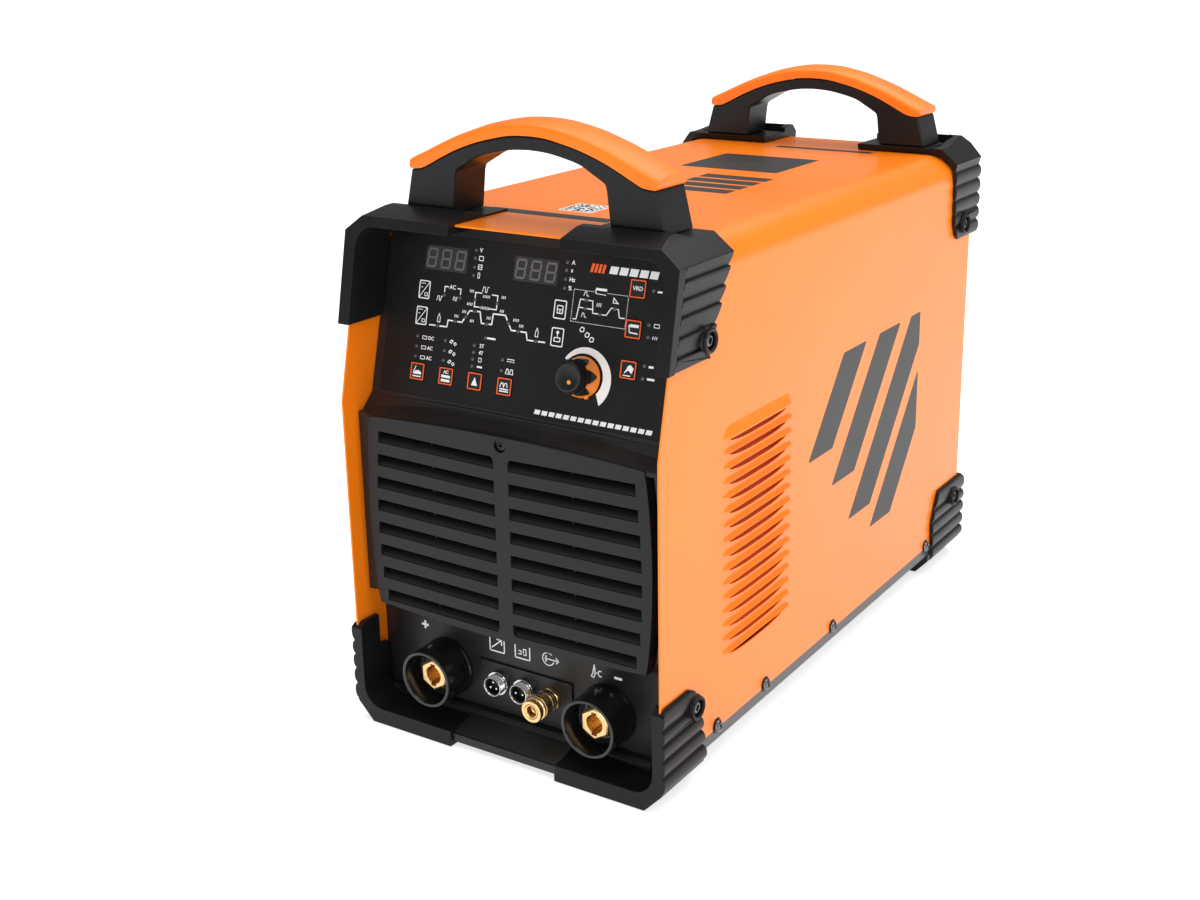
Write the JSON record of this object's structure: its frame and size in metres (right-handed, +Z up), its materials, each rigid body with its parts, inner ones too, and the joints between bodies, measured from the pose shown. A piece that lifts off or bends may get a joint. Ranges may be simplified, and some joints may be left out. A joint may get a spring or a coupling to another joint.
{
  "type": "tig welding machine",
  "caption": "Portable inverter TIG welding power source: folded orange cover, black corner bumpers, two arched handles, sloping control panel, vent grille, cable sockets and gas coupling.",
  "frame": {"origin": "on the floor under the middle of the machine, between its four feet", "axes": "+X to the machine's right as seen from the front, +Y from the front panel towards the back, +Z up"},
  "size_m": [0.286, 0.558, 0.462],
  "materials": {
    "orange_powder_coat": "glossy",
    "orange_grip": "satin",
    "black_plastic": "satin",
    "black_gloss_plastic": "glossy",
    "black_rubber": "satin",
    "grey_sheet": "satin",
    "smoked_lens": "glossy",
    "brass": "polished",
    "nickel_plate": "polished",
    "black_oxide_steel": "satin",
    "aluminium": "satin",
    "circuit_board": "satin",
    "enamelled_copper": "satin"
  },
  "bodies": {
    "machine": {"base_tray": "grey_sheet", "bolt_front_lower_left": "black_oxide_steel", "bolt_front_lower_right": "black_oxide_steel", "bolt_front_upper_left": "black_oxide_steel", "bolt_front_upper_right": "black_oxide_steel", "bolt_rear_lower_left": "black_oxide_steel", "bolt_rear_lower_right": "black_oxide_steel", "bolt_rear_upper_left": "black_oxide_steel", "bolt_rear_upper_right": "black_oxide_steel", "bumper_front_lower_left": "black_rubber", "bumper_front_lower_right": "black_rubber", "bumper_front_upper_left": "black_rubber", "bumper_front_upper_right": "black_rubber", "bumper_rear_lower_left": "black_rubber", "bumper_rear_lower_right": "black_rubber", "bumper_rear_upper_left": "black_rubber", "bumper_rear_upper_right": "black_rubber", "cable_gland": "black_plastic", "connector_plate": "black_plastic", "control_board": "circuit_board", "cover_screws_left": "black_oxide_steel", "cover_screws_right": "black_oxide_steel", "display_window_left": "smoked_lens", "display_window_right": "smoked_lens", "fan_frame": "black_plastic", "fan_guard": "black_oxide_steel", "front_grille": "black_plastic", "front_panel": "black_plastic", "gas_coupling_body": "brass", "gas_inlet": "brass", "gas_valve": "brass", "grille_screw": "black_oxide_steel", "handle_frame_front": "black_plastic", "handle_frame_rear": "black_plastic", "handle_grip_front": "orange_grip", "handle_grip_rear": "orange_grip", "inverter_module": "aluminium", "main_transformer": "enamelled_copper", "mains_breaker": "black_plastic", "outer_cover": "orange_powder_coat", "rear_panel": "grey_sheet", "remote_connector_left": "nickel_plate", "remote_connector_right": "nickel_plate", "socket_body_negative": "black_gloss_plastic", "socket_body_positive": "black_gloss_plastic", "socket_contact_negative": "brass", "socket_contact_positive": "brass"},
    "key_mode": {"button_mode": "black_plastic"},
    "key_waveform": {"button_waveform": "black_plastic"},
    "key_trigger": {"button_trigger": "black_plastic"},
    "key_pulse": {"button_pulse": "black_plastic"},
    "key_vrd": {"button_vrd": "black_plastic"},
    "key_hf": {"button_hf": "black_plastic"},
    "key_gas": {"button_gas": "black_plastic"},
    "current_knob": {"encoder_shaft": "black_oxide_steel", "knob_skirt": "orange_grip", "knob_cap": "black_gloss_plastic"},
    "coupling_collar": {"gas_coupling_sleeve": "brass"},
    "fan_wheel": {"fan_rotor": "black_plastic"},
    "mains_lever": {"breaker_toggle": "black_plastic"}
  },
  "joints": [
    {"name": "mode_key_press", "type": "slide", "parent": "machine", "child": "key_mode", "axis": [0, 0.969, -0.2471], "range_m": [0, 0.0006], "stiffness_N_per_m": 800, "springref_m": -0.0004},
    {"name": "waveform_key_press", "type": "slide", "parent": "machine", "child": "key_waveform", "axis": [0, 0.969, -0.2471], "range_m": [0, 0.0006], "stiffness_N_per_m": 800, "springref_m": -0.0004},
    {"name": "trigger_key_press", "type": "slide", "parent": "machine", "child": "key_trigger", "axis": [0, 0.969, -0.2471], "range_m": [0, 0.0006], "stiffness_N_per_m": 800, "springref_m": -0.0004},
    {"name": "pulse_key_press", "type": "slide", "parent": "machine", "child": "key_pulse", "axis": [0, 0.969, -0.2471], "range_m": [0, 0.0006], "stiffness_N_per_m": 800, "springref_m": -0.0004},
    {"name": "vrd_key_press", "type": "slide", "parent": "machine", "child": "key_vrd", "axis": [0, 0.969, -0.2471], "range_m": [0, 0.0006], "stiffness_N_per_m": 800, "springref_m": -0.0004},
    {"name": "hf_key_press", "type": "slide", "parent": "machine", "child": "key_hf", "axis": [0, 0.969, -0.2471], "range_m": [0, 0.0006], "stiffness_N_per_m": 800, "springref_m": -0.0004},
    {"name": "gas_key_press", "type": "slide", "parent": "machine", "child": "key_gas", "axis": [0, 0.969, -0.2471], "range_m": [0, 0.0006], "stiffness_N_per_m": 800, "springref_m": -0.0004},
    {"name": "current_knob_spin", "type": "hinge", "parent": "machine", "child": "current_knob", "pos_m": [0.0512, -0.23661, 0.29207], "axis": [0, -0.969, 0.2471], "continuous": true},
    {"name": "coupling_collar_pull", "type": "slide", "parent": "machine", "child": "coupling_collar", "axis": [0, 1, 0], "range_m": [0, 0.0035], "stiffness_N_per_m": 1500, "springref_m": -0.001},
    {"name": "fan_spin", "type": "hinge", "parent": "machine", "child": "fan_wheel", "pos_m": [0, 0.215, 0.148], "axis": [0, 1, 0], "continuous": true},
    {"name": "mains_lever_throw", "type": "hinge", "parent": "machine", "child": "mains_lever", "pos_m": [0.062, 0.236, 0.315], "axis": [1, 0, 0], "range_deg": [0, 56]}
  ]
}
